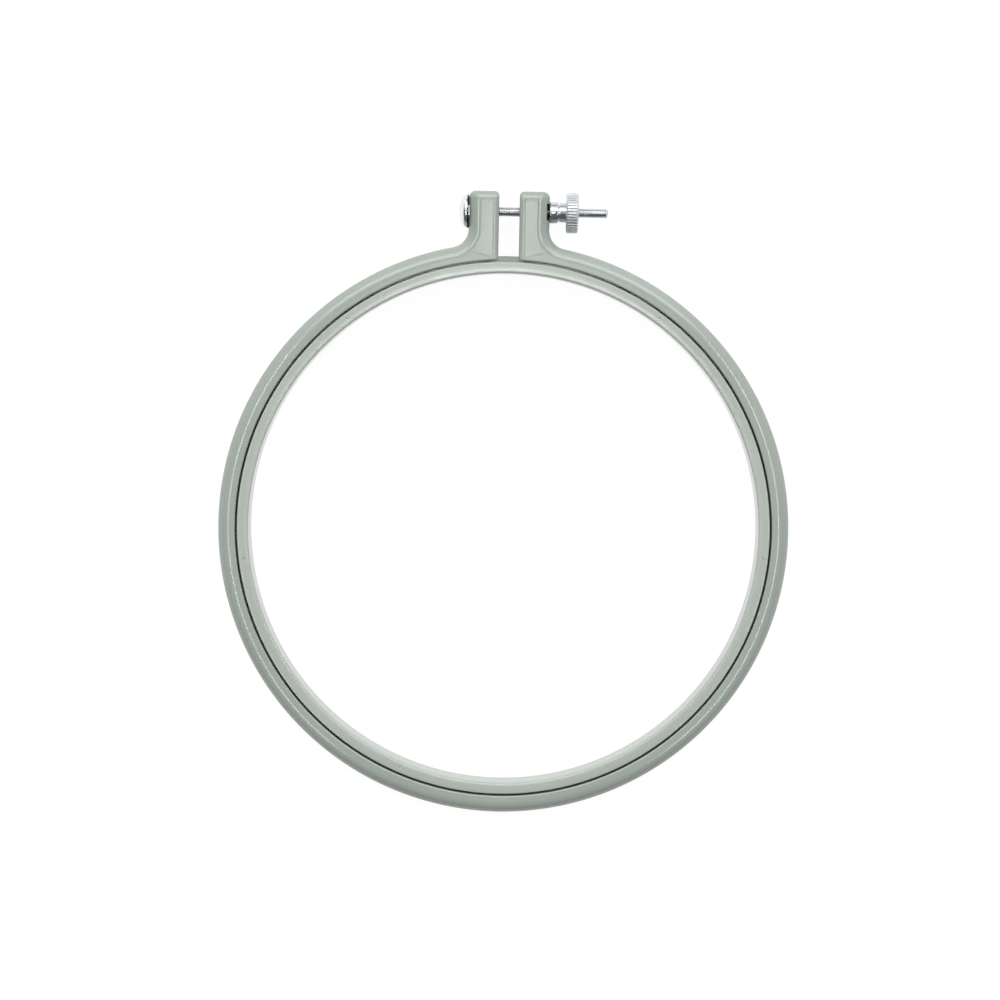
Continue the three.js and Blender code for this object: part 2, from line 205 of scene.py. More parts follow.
def moulded_plastic(name, colour, polished_below=0.0):
    """Semi-gloss moulded plastic. Its colour drifts by a few parts in a hundred in clouds and in a
    fine speck, its gloss in other clouds, and its skin has slow flow waves under a fine grain. Below
    a height the mould was polished, so that the cloth slides."""
    material = bpy.data.materials.new(name)
    material.use_nodes = True
    nodes, links = material.node_tree.nodes, material.node_tree.links
    shader = nodes["Principled BSDF"]
    shader.inputs["IOR"].default_value = PLASTIC_IOR
    shader.inputs["Specular IOR Level"].default_value = PLASTIC_SHINE
    place = nodes.new("ShaderNodeTexCoord").outputs["Object"]

    clouds = spread(nodes, links, noise(nodes, links, place, CLOUD_WAVES, 2), 0, CLOUD_SHARE)
    specks = spread(nodes, links, noise(nodes, links, place, SPECK_WAVES, 2), 0, SPECK_SHARE)
    drift = joined(nodes, links, "ADD", clouds, specks)
    links.new(tinted(nodes, links, drift, colour, COLOUR_SWING), shader.inputs["Base Color"])

    gloss = spread(nodes, links, noise(nodes, links, place, GLOSS_WAVES, 3), LEAST_ROUGH, MOST_ROUGH)
    height = nodes.new("ShaderNodeSeparateXYZ")
    links.new(place, height.inputs[0])
    fade_start = polished_below - POLISH_FADE
    polish = spread(nodes, links, height.outputs["Z"], POLISHED_SHARE, 1, fade_start, polished_below)
    links.new(joined(nodes, links, "MULTIPLY", gloss, polish), shader.inputs["Roughness"])
    flow = noise(nodes, links, place, FLOW_WAVES, 1)
    waves = raised(nodes, links, flow, FLOW_HEIGHT, FLOW_STRENGTH)
    fine = noise(nodes, links, place, GRAIN_WAVES, 2)
    grain = raised(nodes, links, fine, GRAIN_HEIGHT, GRAIN_STRENGTH, waves)
    links.new(grain, shader.inputs["Normal"])
    return material


def mark_depth(radius, angle):
    """How far the top face is sunk: an arrowhead's half width grows evenly from nothing at its
    point, near the seam, and its depth falls smoothly over MARK_SIDE inside its edges."""
    from_point = INNER_OUTSIDE - INNER_EDGE - MARK_FROM_EDGE - radius
    depth = np.zeros(np.broadcast(radius, angle).shape)
    for mark in np.radians(MARK_ANGLES):
        turn = (angle - mark + np.pi) % (2 * np.pi) - np.pi
        side = MARK_HALF_WIDTH * from_point / MARK_LENGTH - np.abs(turn) * radius
        fall = np.clip(np.minimum(side, MARK_LENGTH - from_point) / MARK_SIDE, 0, 1)
        depth = np.maximum(depth, MARK_DEPTH * fall * fall * (3 - 2 * fall))
    return depth


def inner_ring_grid():
    """The rounded profile (radius, height), carried round the axis in even steps and in fine ones
    across each mark. The top face is a shallow parabola, CROWN high, sunk by mark_depth."""
    across = np.linspace(-1, 1, CROWN_ROWS + 2)[1:-1]
    middle = (INNER_OUTSIDE - INNER_EDGE + INNER_INSIDE + CLOTH_EDGE) / 2
    half_width = (INNER_OUTSIDE - INNER_EDGE - INNER_INSIDE - CLOTH_EDGE) / 2
    shoulder = INNER_TOP - CROWN
    face = np.stack([middle - half_width * across, INNER_TOP - CROWN * across**2, 0 * across], axis=-1)
    profile = rounded(
        [
            (INNER_INSIDE, 0, FLANGE_EDGE),
            (FLANGE_OUTSIDE, 0, FLANGE_EDGE),
            (FLANGE_OUTSIDE, FLANGE_THICKNESS, FLANGE_EDGE),
            (INNER_OUTSIDE, FLANGE_THICKNESS, FLANGE_ROOT),
            (INNER_OUTSIDE, shoulder, INNER_EDGE),
            *face,
            (INNER_INSIDE, shoulder, CLOTH_EDGE),
        ],
        ROUND_STEPS,
    )
    half_span = math.degrees(MARK_MARGIN * MARK_HALF_WIDTH / INNER_OUTSIDE)
    even = np.arange(0, 360, EVEN_STEP)
    fine = [np.linspace(mark - half_span, mark + half_span, MARK_COLUMNS) for mark in MARK_ANGLES]
    angle = np.radians(np.unique(np.concatenate([even, *fine])))[:, None]
    radius, height = profile.T
    sunk = np.where(height > shoulder, mark_depth(radius, angle), 0)
    places = [radius * np.cos(angle), CENTRE_Y + radius * np.sin(angle), height - sunk]
    return np.stack(places, axis=-1)


inner_piece = surface("inner_hoop", inner_ring_grid(), rows_close=True)
inner_plastic = moulded_plastic("inner_plastic", INNER_COLOUR, INNER_TOP - INNER_EDGE)
dress(inner_piece, PLASTIC_CREASE, inner_plastic, "inner_ring")

# Outer ring. One springy plastic moulding, split between two lugs that the screw passes through.
# Its closed section is carried round the split outline: flat beside the seam, a soft ridge, then
# a slope that falls to the outer wall. Beside the gap the face climbs on to the thicker lugs.
outer_low, outer_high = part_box("outer_ring")
screw_low, screw_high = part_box("clamp_screw")
SEAM_GAP = 0.00062
OUTER_WALL = 0.00524
OUTER_INSIDE = INNER_OUTSIDE + SEAM_GAP
OUTER_OUTSIDE = OUTER_INSIDE + OUTER_WALL
LUG_RAISE = 0.001
OUTER_BOTTOM = outer_low.z
OUTER_TOP = outer_high.z - LUG_RAISE
SEAM_EDGE = 0.00035
FOOT_EDGE = 0.0005
TOP_FLAT = 0.0021
SLOPE_DROP = 0.0032
SLOPE_PITCH = 0.4
RIDGE_ROUND = 0.001
LUG_GAP = 0.0061
LUG_WIDTH = 0.009
LUG_SIDE_SLOPE = OUTER_WALL - SEAM_EDGE - TOP_FLAT
LUG_END_SLOPE = 0.0018
LUG_GAP_SLOPE = 0.0011
LUG_FILLET = 0.0056
LUG_OUTER_CORNER = 0.002
LUG_GAP_CORNER = 0.00135
SEAM_CORNER = 0.001
LEAST_CORNER = 0.0005
RAMP_LENGTH = 0.0175
FOOT_CLIMB = 0.4  # of the ramp's foot line, along the radius, per length across the lug
BEAD_HEIGHT = 0.000045  # of the crease across the lug's foot
BEAD_REACH = 0.0003
LUG_END_Y = outer_high.y - CENTRE_Y
GAP_X = LUG_GAP / 2
SIDE_X = GAP_X + LUG_WIDTH
FILLET_X = SIDE_X + LUG_FILLET
FILLET_Y = math.sqrt((OUTER_OUTSIDE + LUG_FILLET) ** 2 - FILLET_X**2)
FOOT_ANGLE = math.acos((SIDE_X - LUG_SIDE_SLOPE - RIDGE_ROUND) / (OUTER_INSIDE + SEAM_EDGE))
AXIS_Y = (screw_low.y + screw_high.y) / 2
AXIS_Z = (screw_low.z + screw_high.z) / 2
BORE_RADIUS = 0.0018
RECESS_RADIUS = 0.0025
RECESS_DEPTH = 0.0016
SLOT_DEPTH = 0.0009  # of the recess's opening at the top
SOCKET_SIDE = 0.004
SOCKET_DEPTH = 0.0022
CUT_PAST = 0.001
RING_STEPS = 220
FILLET_STEPS = 28
SIDE_STEPS = 14
CORNER_STEPS = 12
END_STEPS = 8
GAP_STEPS = 22
FACE_STEPS = 60
NEAR_STEPS = 0.6  # share of the face's steps that lie near the seam
NEAR_REACH = 0.0026
EDGE_STEPS = 12
RIDGE_STEPS = 6
FOOT_STEPS = 4
HOLE_SIDES = 48
OUTER_COLOUR = (0.368, 0.417, 0.368)


def smoothstep(value, low, high):
    """0 below low, 1 above high, and 3t^2 - 2t^3 between."""
    t = np.clip((value - low) / (high - low), 0, 1)
    return t * t * (3 - 2 * t)


def plan_outline(side=0.0, end=0.0, gap=0.0, seam=0.0):
    """The half of the outline with x above 0, drawn in by a width on each kind of edge: two lists
    of points that face each other across the ring. They run from its far side to where the gap
    meets the seam, the outer one by ring, fillet, lug side, lug end, gap and seam corner. The inner
    one passes FOOT_ANGLE, below the lug's ridge, where the fillet ends, so that no line between
    facing points leaves the outline."""

    def arc(x, y, radius, start, stop, steps):
        angle = np.linspace(start, stop, steps, endpoint=False)
        return np.stack([x + radius * np.cos(angle), y + radius * np.sin(angle)], axis=-1)

    def line(start, stop, steps):
        return np.linspace(start, stop, steps, endpoint=False)

    outer_corner = max(LUG_OUTER_CORNER - side, LEAST_CORNER)
    gap_corner = max(LUG_GAP_CORNER - gap, LEAST_CORNER)
    seam_corner = max(SEAM_CORNER - seam, LEAST_CORNER)
    side_x, end_y, gap_x = SIDE_X - side, LUG_END_Y - end, GAP_X + gap
    inside = OUTER_INSIDE + seam
    seam_x = gap_x + seam_corner
    seam_y = math.sqrt((inside + seam_corner) ** 2 - seam_x**2)
    far, tangent, seam_angle = -math.pi / 2, math.atan2(FILLET_Y, FILLET_X), math.atan2(seam_y, seam_x)
    quarter = math.pi / 2
    meeting = [(inside * math.cos(seam_angle), inside * math.sin(seam_angle))]
    outer = np.concatenate(
        [
            arc(0, 0, OUTER_OUTSIDE - side, far, tangent, RING_STEPS),
            arc(FILLET_X, FILLET_Y, LUG_FILLET + side, tangent + math.pi, math.pi, FILLET_STEPS),
            line((side_x, FILLET_Y), (side_x, end_y - outer_corner), SIDE_STEPS),
            arc(side_x - outer_corner, end_y - outer_corner, outer_corner, 0, quarter, CORNER_STEPS),
            line((side_x - outer_corner, end_y), (gap_x + gap_corner, end_y), END_STEPS),
            arc(gap_x + gap_corner, end_y - gap_corner, gap_corner, quarter, math.pi, CORNER_STEPS),
            line((gap_x, end_y - gap_corner), (gap_x, seam_y), GAP_STEPS),
            arc(seam_x, seam_y, seam_corner, math.pi, math.pi + seam_angle, CORNER_STEPS),
            meeting,
        ]
    )
    inner = np.concatenate(
        [
            arc(0, 0, inside, far, tangent, RING_STEPS),
            arc(0, 0, inside, tangent, FOOT_ANGLE, FILLET_STEPS),
            arc(0, 0, inside, FOOT_ANGLE, seam_angle, len(outer) - 1 - RING_STEPS - FILLET_STEPS),
            meeting,
        ]
    )
    return outer, inner


def top_drop():
    """How far the top falls from the ridge to the wall at each point of the half outline: one drop
    along each kind of edge, changing evenly round the corners between them."""
    return np.concatenate(
        [
            np.full(RING_STEPS + FILLET_STEPS + SIDE_STEPS, SLOPE_DROP),
            np.linspace(SLOPE_DROP, LUG_END_SLOPE, CORNER_STEPS, endpoint=False),
            np.full(END_STEPS, LUG_END_SLOPE),
            np.linspace(LUG_END_SLOPE, LUG_GAP_SLOPE, CORNER_STEPS, endpoint=False),
            np.full(GAP_STEPS, LUG_GAP_SLOPE),
            np.linspace(LUG_GAP_SLOPE, SEAM_EDGE, CORNER_STEPS, endpoint=False),
            [SEAM_EDGE],
        ]
    )


def face_height(point):
    """Height of the top face: the ring's level, climbing evenly by LUG_RAISE over RAMP_LENGTH past a
    foot line that goes from the seam, at the gap, straight out to the ridge, at the lug's side.
    Along that line a soft crease stands up by BEAD_HEIGHT and dies out past the lug's side."""
    x = point[..., 0]
    past = np.linalg.norm(point, axis=-1) - OUTER_INSIDE - FOOT_CLIMB * (x - GAP_X)
    bead = BEAD_HEIGHT * np.exp(-((past / BEAD_REACH) ** 2)) * (1 - smoothstep(x, SIDE_X, FILLET_X))
    return OUTER_TOP + LUG_RAISE * np.clip(past / RAMP_LENGTH, 0, 1) + bead


def at_height(point, height):
    """Plan points with a height."""
    return np.concatenate([point, np.broadcast_to(height, point.shape[:-1])[..., None]], axis=-1)


def top_edge(wall, ridge, drop, blend=0.0):
    """The edge from wall up to ridge: the quadratic curve that leaves the wall upright, drop below
    the ridge, and meets the ridge at SLOPE_PITCH. It stops short of the ridge by a share."""
    top = face_height(ridge)
    fall = np.minimum(SLOPE_PITCH * np.linalg.norm(wall - ridge, axis=-1), drop)
    low, control, high = at_height(wall, top - drop), at_height(wall, top - fall), at_height(ridge, top)
    t = np.linspace(0, 1, EDGE_STEPS + 1)[:, None, None] * (1 - np.asarray(blend)[..., None])
    return (1 - t) ** 2 * low + 2 * t * (1 - t) * control + t**2 * high


def outer_ring_grid():
    """The closed section at each station of the half outline, mirrored for the other half: inner
    foot, wall, seam edge, face, ridge, slope, outer wall and outer foot. On a long face most of the
    steps lie within NEAR_REACH of the seam."""
    wall_outer, wall_inner = plan_outline()
    widths = np.array([LUG_SIDE_SLOPE, LUG_END_SLOPE, LUG_GAP_SLOPE])
    ridge_outer, ridge_inner = plan_outline(*widths, SEAM_EDGE)
    foot_outer, foot_inner = plan_outline(FOOT_EDGE, FOOT_EDGE, FOOT_EDGE, SEAM_EDGE)
    stations = np.arange(len(wall_outer))
    rounding = np.clip((stations[-1] - stations) / CORNER_STEPS, 0, 1)[:, None]
    slope_width = np.linalg.norm(wall_outer - ridge_outer, axis=-1, keepdims=True)
    blend = rounding * RIDGE_ROUND / 2 / slope_width
    inner_edge = top_edge(wall_inner, ridge_inner, np.full(len(wall_inner), SEAM_EDGE))
    outer_edge = top_edge(wall_outer, ridge_outer, top_drop(), blend[:, 0])[::-1]

    past_round = plan_outline(*(widths + RIDGE_ROUND), SEAM_EDGE)[0]
    face_outer = ridge_outer + (past_round - ridge_outer) * rounding
    length = np.linalg.norm(face_outer - ridge_inner, axis=-1)
    near = NEAR_REACH / np.maximum(length, NEAR_REACH / NEAR_STEPS)
    share = np.linspace(0, 1, FACE_STEPS + 1)[1:, None]
    beyond = near + (share - NEAR_STEPS) / (1 - NEAR_STEPS) * (1 - near)
    step = np.where(share < NEAR_STEPS, share / NEAR_STEPS * near, beyond)[..., None]
    flat = ridge_inner + (face_outer - ridge_inner) * step
    ridge = at_height(ridge_outer, face_height(ridge_outer))
    face = at_height(flat, face_height(flat))

    def foot(wall, edge):
        """From FOOT_EDGE up a wall, round its foot, to the edge of the flat bottom."""
        high = at_height(wall, OUTER_BOTTOM + FOOT_EDGE)
        return bend(high, at_height(wall, OUTER_BOTTOM), at_height(edge, OUTER_BOTTOM), FOOT_STEPS)

    section = np.concatenate(
        [
            foot(wall_inner, foot_inner)[::-1],
            inner_edge,
            face,
            bend(face[-1], ridge, outer_edge[0], RIDGE_STEPS)[1:-1],
            outer_edge,
            foot(wall_outer, foot_outer),
        ]
    )
    half = section.transpose(1, 0, 2)
    mirrored = half[:0:-1] * (-1, 1, 1)
    return np.concatenate([mirrored, half]) + (0, CENTRE_Y, 0)


def prism_along_screw(start, stop, radius, sides):
    """A closed prism on the screw's axis with its corners that far from the axis, its first corner
    turned half a side from the top."""
    angle = np.linspace(0, 2 * math.pi, sides, endpoint=False) + math.pi / sides
    ring = np.stack([0 * angle, radius * np.cos(angle), radius * np.sin(angle)], axis=-1)
    first, last = ring + (start, 0, 0), ring + (stop, 0, 0)
    ends = [0 * ring + (start, 0, 0), first, last, 0 * ring + (stop, 0, 0)]
    return surface("cutter", np.stack(ends) + (0, AXIS_Y, AXIS_Z))


def seat_slot():
    """A closed block over the recess in the right lug, as wide as it, that opens it upwards."""
    corners = [(-1, 0), (1, 0), (1, 1), (-1, 1)]
    height = OUTER_TOP + LUG_RAISE + CUT_PAST - AXIS_Z
    ring = np.array([(0, AXIS_Y + y * RECESS_RADIUS, AXIS_Z + z * height) for y, z in corners])
    start, stop = ring + (SIDE_X - SLOT_DEPTH, 0, 0), ring + (SIDE_X + CUT_PAST, 0, 0)
    ends = [0 * ring + start.mean(axis=0), start, stop, 0 * ring + stop.mean(axis=0)]
    return surface("cutter", np.stack(ends))


def cut_out(piece, cutters):
    """Takes closed cutters out of a piece, keeps the result as its mesh and drops the cutters."""
    for cutter in cutters:
        cut = piece.modifiers.new("cut", "BOOLEAN")
        cut.operation = "DIFFERENCE"
        cut.solver = "EXACT"
        cut.object = cutter
    bpy.context.view_layer.update()
    result = piece.evaluated_get(bpy.context.evaluated_depsgraph_get())
    mesh = bpy.data.meshes.new_from_object(result)
    piece.modifiers.clear()
    piece.data = mesh
    for cutter in cutters:
        bpy.data.objects.remove(cutter)


outer_piece = surface("outer_hoop", outer_ring_grid())
cut_out(
    outer_piece,
    [
        prism_along_screw(-SIDE_X - CUT_PAST, SIDE_X + CUT_PAST, BORE_RADIUS, HOLE_SIDES),
        prism_along_screw(SIDE_X - RECESS_DEPTH, SIDE_X + CUT_PAST, RECESS_RADIUS, HOLE_SIDES),
        seat_slot(),
        prism_along_screw(-SIDE_X - CUT_PAST, SOCKET_DEPTH - SIDE_X, SOCKET_SIDE / math.sqrt(2), 4),
    ],
)
outer_plastic = moulded_plastic("outer_plastic", OUTER_COLOUR)
dress(outer_piece, PLASTIC_CREASE, outer_plastic, "outer_ring")

# Clamp screw. Nickel-plated steel: a polished domed head, a short square neck that sits in the left
# lug's socket, and an M3 shank with a rolled thread. Each row of its surface is a ring about the
# axis, square in the neck and wound with the thread on the shank.
SEAT_PLAY = 0.00002  # between the head or the nut and its lug
HEAD_RIM = 0.00055  # from the lug to the foot of the dome
HEAD_RADIUS = (screw_high.z - screw_low.z) / 2
HEAD_SEAT_X = -SIDE_X - SEAT_PLAY
HEAD_RIM_X = -SIDE_X - HEAD_RIM
HEAD_EDGE = 0.00012
HEAD_DOME = HEAD_RIM_X - screw_low.x
NECK_SIDE = 0.0034
NECK_CORNER = 0.00225
NECK_REACH = 0.0019  # into the left lug
NECK_END_X = -SIDE_X + NECK_REACH
THREAD_RADIUS = 0.0015
THREAD_PITCH = 0.0005
THREAD_DEPTH = 0.00026
THREAD_FLAT = 0.22  # of the half pitch, at the crest and at the root
TIP_CHAMFER = 0.0004
SCREW_COLUMNS = 48
DOME_ROWS = 26
ROWS_PER_TURN = 10
SCREW_CREASE = 32
SCREW_COLOUR = (0.82, 0.84, 0.86)
NICKEL_ROUGH = 0.14
ROUGH_SWING = 0.3  # share of the roughness
NICKEL_SWING = 0.06
NICKEL_CLOUDS = 700  # a metre
TURNING_WAVES = 250  # a metre across the axis
TURNING_STRETCH = 36  # times as many along it
TURNING_HEIGHT = 0.000005
TURNING_STRENGTH = 0.1
# Painted shade: one dark colour laid into the screw's thread roots, its shank in the right lug's
# recess, a line round its head's rim and the nut's knurl grooves, where shade falls; the fade softens
# its edges.
PAINTED_SHADE_COLOUR = (0.03, 0.03, 0.03, 1)
PAINTED_SHADE_FADE = 0.0001
ROOT_SHADE_SHARE = 0.4  # share of the painted shade's dark colour at the thread's root
RECESS_SHADE_SHARE = 0.8  # share of it as painted shade on the shank inside the right lug's recess
RECESS_SHADE_FADE = 0.0002
RIM_LINE = 0.0004  # width of the painted shade line round the head's rim
RIM_FADE = 0.00015
THREAD_WEAR = 0.03  # added to the roughness


def thread_radius(x, angle):
    """A right-hand V thread: how far a point is from the crest, as a share of half the pitch, winds
    on with the angle; straight flanks fall from the flat crest to the flat root."""
    from_crest = np.abs((x / THREAD_PITCH - angle / (2 * math.pi)) % 1 - 0.5) * 2
    sunk = np.clip((from_crest - THREAD_FLAT) / (1 - 2 * THREAD_FLAT), 0, 1)
    return THREAD_RADIUS - THREAD_DEPTH * sunk


def about_screw(x, radius, angle):
    """Points that far along and from the screw's axis, at angles from +Y towards +Z."""
    y, z = AXIS_Y + radius * np.cos(angle), AXIS_Z + radius * np.sin(angle)
    return np.stack(np.broadcast_arrays(x, y, z), axis=-1)


def screw_grid():
    """Rows of rings from the dome's apex to the middle of the tip: an elliptic dome, the rim, the
    square neck with cut corners, and the thread between its run-out and the tip's chamfer."""
    angle = np.linspace(0, 2 * math.pi, SCREW_COLUMNS, endpoint=False)[None, :]
    rise = np.linspace(0, math.pi / 2, DOME_ROWS)[:, None]
    dome = about_screw(HEAD_RIM_X - HEAD_DOME * np.cos(rise), HEAD_RADIUS * np.sin(rise), angle)
    rim_x = np.array([[HEAD_SEAT_X - HEAD_EDGE], [HEAD_SEAT_X], [HEAD_SEAT_X]])
    rim_radius = np.array([[HEAD_RADIUS], [HEAD_RADIUS - HEAD_EDGE], [NECK_CORNER + HEAD_EDGE]])
    rim = about_screw(rim_x, rim_radius, angle)
    square = NECK_SIDE / 2 / np.maximum(np.abs(np.cos(angle)), np.abs(np.sin(angle)))
    neck = about_screw(np.array([[HEAD_SEAT_X], [NECK_END_X]]), np.minimum(square, NECK_CORNER), angle)
    rows = int((screw_high.x - NECK_END_X) / THREAD_PITCH * ROWS_PER_TURN)
    x = np.linspace(NECK_END_X, screw_high.x, rows)[:, None]
    run_out = THREAD_RADIUS - THREAD_DEPTH + np.abs(x - NECK_END_X)
    chamfer = THREAD_RADIUS - TIP_CHAMFER + np.abs(screw_high.x - x)
    shank = about_screw(x, np.minimum(thread_radius(x, angle), np.minimum(run_out, chamfer)), angle)
    tip = about_screw(np.array([[screw_high.x]]), 0, angle)
    return np.concatenate([dome, rim, neck, shank, tip])


def along_and_off_axis(nodes, links, place):
    """A place's distance along the screw's axis, and its distance from it."""
    along = nodes.new("ShaderNodeSeparateXYZ")
    links.new(place, along.inputs[0])
    across = nodes.new("ShaderNodeVectorMath")
    across.operation = "MULTIPLY"
    across.inputs[1].default_value = (0, 1, 1)
    links.new(place, across.inputs[0])
    off = nodes.new("ShaderNodeVectorMath")
    off.operation = "DISTANCE"
    off.inputs[1].default_value = (0, AXIS_Y, AXIS_Z)
    links.new(across.outputs[0], off.inputs[0])
    return along.outputs["X"], off.outputs["Value"]


def nickel_plate(name, colour, shade_and_wear):
    """Bright nickel plate: clouds in its colour, fine turning marks round the screw's axis in its
    gloss, and the same marks in its skin. A function gives two values from places along and off the
    axis: the share of painted shade, dark where shade falls, and what wear adds to the roughness."""
    material = bpy.data.materials.new(name)
    material.use_nodes = True
    nodes, links = material.node_tree.nodes, material.node_tree.links
    shader = nodes["Principled BSDF"]
    shader.inputs["Metallic"].default_value = 1.0
    place = nodes.new("ShaderNodeTexCoord").outputs["Object"]
    stretched = nodes.new("ShaderNodeMapping")
    stretched.inputs["Scale"].default_value = (TURNING_STRETCH, 1, 1)
    links.new(place, stretched.inputs["Vector"])
    turning = noise(nodes, links, stretched.outputs["Vector"], TURNING_WAVES, 3)
    clouds = spread(nodes, links, noise(nodes, links, place, NICKEL_CLOUDS, 2), 0, 1)
    painted_shade, wear = shade_and_wear(nodes, links, *along_and_off_axis(nodes, links, place))
    # Painted shade: the plate's colour darkened towards the dark colour by the share of shade.
    shade_mix = nodes.new("ShaderNodeMix")
    shade_mix.data_type = "RGBA"
    links.new(tinted(nodes, links, clouds, colour, NICKEL_SWING), shade_mix.inputs["A"])
    shade_mix.inputs["B"].default_value = PAINTED_SHADE_COLOUR
    links.new(painted_shade, shade_mix.inputs["Factor"])
    links.new(shade_mix.outputs["Result"], shader.inputs["Base Color"])
    least, most = NICKEL_ROUGH * (1 - ROUGH_SWING), NICKEL_ROUGH * (1 + ROUGH_SWING)
    gloss = spread(nodes, links, turning, least, most)
    links.new(joined(nodes, links, "ADD", gloss, wear), shader.inputs["Roughness"])
    skin = raised(nodes, links, turning, TURNING_HEIGHT, TURNING_STRENGTH)
    links.new(skin, shader.inputs["Normal"])
    return material


def screw_shade_and_wear(nodes, links, along, off):
    """Painted shade in the roots of the thread, on the shank inside the right lug's recess and in a
    line round the head's rim, where shade falls. The rolled thread is rougher than the dome."""
    recess_x = SIDE_X - RECESS_DEPTH
    shank = spread(nodes, links, along, 0, 1, HEAD_SEAT_X, HEAD_SEAT_X + PAINTED_SHADE_FADE)
    root = spread(nodes, links, off, ROOT_SHADE_SHARE, 0, THREAD_RADIUS - THREAD_DEPTH, THREAD_RADIUS)
    rim = spread(nodes, links, along, 0, 1, HEAD_RIM_X, HEAD_RIM_X + RIM_FADE)
    line = spread(nodes, links, off, 0, 1, HEAD_RADIUS - RIM_LINE, HEAD_RADIUS - PAINTED_SHADE_FADE)
    shade_in_recess_start = spread(nodes, links, along, 0, RECESS_SHADE_SHARE, recess_x, recess_x + RECESS_SHADE_FADE)
    shade_in_recess_end = spread(nodes, links, along, 1, 0, SIDE_X, SIDE_X + RECESS_SHADE_FADE)
    shade_in_recess = joined(nodes, links, "MULTIPLY", shade_in_recess_start, shade_in_recess_end)
    in_thread = joined(nodes, links, "MAXIMUM", joined(nodes, links, "MULTIPLY", shank, root), shade_in_recess)
    on_head = joined(nodes, links, "MULTIPLY", rim, line)
    painted_shade = joined(nodes, links, "MAXIMUM", in_thread, on_head)
    return painted_shade, spread(nodes, links, shank, 0, THREAD_WEAR, 0, 1)


screw_piece = surface("domed_screw", screw_grid())
screw_nickel = nickel_plate("screw_nickel", SCREW_COLOUR, screw_shade_and_wear)
dress(screw_piece, SCREW_CREASE, screw_nickel, "clamp_screw")

# Thumb nut. Turned from bright steel and nickel plated: a collar that bears on the right lug, a
# groove, a narrower neck and a straight-knurled disc. The profile is turned about the screw's axis,
# and 40 grooves are pressed into the disc's rim between its chamfers.
nut_low, nut_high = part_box("thumb_nut")
COLLAR_RADIUS = 0.00325
COLLAR_LENGTH = 0.0022
COLLAR_EDGE = 0.0003
GROOVE_WIDTH = 0.00045
GROOVE_DEPTH = 0.0003
NUT_NECK_RADIUS = 0.00295
DISC_RADIUS = (nut_high.z - nut_low.z) / 2
DISC_WIDTH = 0.0037
DISC_EDGE = 0.00045
KNURL_TEETH = 40
KNURL_DEPTH = 0.00022
KNURL_CREST = 0.62  # share of the pitch
NUT_BORE = 0.00155
COUNTERSINK = 0.0003
SMALL_EDGE = 0.00005
COLUMNS_PER_TOOTH = 12
NUT_EDGE_STEPS = 4
NUT_CREASE = 28
NUT_COLOUR = (0.66, 0.69, 0.72)
KNURL_SHADE_SHARE = 0.4  # share of the painted shade's dark colour at the bottom of a groove
KNURL_WEAR = 0.22  # added to the roughness


def knurl_radius(angle):
    """The disc's radius: in each tooth's pitch a flat crest, then a groove whose depth follows a
    sine from its edges to its middle."""
    from_crest = np.abs((angle * KNURL_TEETH / (2 * math.pi)) % 1 - 0.5) * 2
    into = np.clip((from_crest - KNURL_CREST) / (1 - KNURL_CREST), 0, 1)
    return DISC_RADIUS - KNURL_DEPTH * np.sin(into * math.pi / 2)


def nut_grid():
    """The nut's closed profile (x, radius), bore included, carried round the axis and kept inside
    the knurled disc's radius."""
    collar_end = nut_low.x + COLLAR_LENGTH
    neck_start = collar_end + GROOVE_WIDTH
    seat = SIDE_X + SEAT_PLAY
    disc_start = nut_high.x - DISC_WIDTH
    groove_radius = NUT_NECK_RADIUS - GROOVE_DEPTH
    profile = rounded(
        [
            (seat, NUT_BORE + COUNTERSINK, SMALL_EDGE),
            (seat, COLLAR_RADIUS, COLLAR_EDGE),
            (collar_end, COLLAR_RADIUS, COLLAR_EDGE),
            (collar_end, groove_radius, SMALL_EDGE),
            (neck_start, groove_radius, SMALL_EDGE),
            (neck_start, NUT_NECK_RADIUS, 2 * SMALL_EDGE),
            (disc_start, NUT_NECK_RADIUS, 2 * SMALL_EDGE),
            (disc_start, DISC_RADIUS - DISC_EDGE, 3 * SMALL_EDGE),
            (disc_start + DISC_EDGE, DISC_RADIUS, 3 * SMALL_EDGE),
            (nut_high.x - DISC_EDGE, DISC_RADIUS, 3 * SMALL_EDGE),
            (nut_high.x, DISC_RADIUS - DISC_EDGE, 3 * SMALL_EDGE),
            (nut_high.x, NUT_BORE + COUNTERSINK, SMALL_EDGE),
            (nut_high.x - COUNTERSINK, NUT_BORE, SMALL_EDGE),
            (seat + COUNTERSINK, NUT_BORE, SMALL_EDGE),
        ],
        NUT_EDGE_STEPS,
    )
    columns = KNURL_TEETH * COLUMNS_PER_TOOTH
    angle = np.linspace(0, 2 * math.pi, columns, endpoint=False)[None, :]
    return about_screw(profile[:, :1], np.minimum(profile[:, 1:], knurl_radius(angle)), angle)


def nut_shade_and_wear(nodes, links, along, off):
    """Painted shade in the grooves of the knurl, between the disc's chamfers, where shade falls. The
    knurl is rougher than the turned faces."""
    knurl_start = nut_high.x - DISC_WIDTH + DISC_EDGE
    knurl_end = nut_high.x - DISC_EDGE
    start = spread(nodes, links, along, 0, 1, knurl_start, knurl_start + PAINTED_SHADE_FADE)
    end = spread(nodes, links, along, 1, 0, knurl_end - PAINTED_SHADE_FADE, knurl_end)
    groove = spread(nodes, links, off, KNURL_SHADE_SHARE, 0, DISC_RADIUS - KNURL_DEPTH, DISC_RADIUS)
    on_rim = joined(nodes, links, "MULTIPLY", start, end)
    painted_shade = joined(nodes, links, "MULTIPLY", on_rim, groove)
    wear = spread(nodes, links, off, 0, KNURL_WEAR, DISC_RADIUS - DISC_EDGE, DISC_RADIUS - KNURL_DEPTH)
    return painted_shade, wear


nut_piece = surface("knurled_nut", nut_grid(), rows_close=True)
nut_nickel = nickel_plate("nut_nickel", NUT_COLOUR, nut_shade_and_wear)
dress(nut_piece, NUT_CREASE, nut_nickel, "thumb_nut")

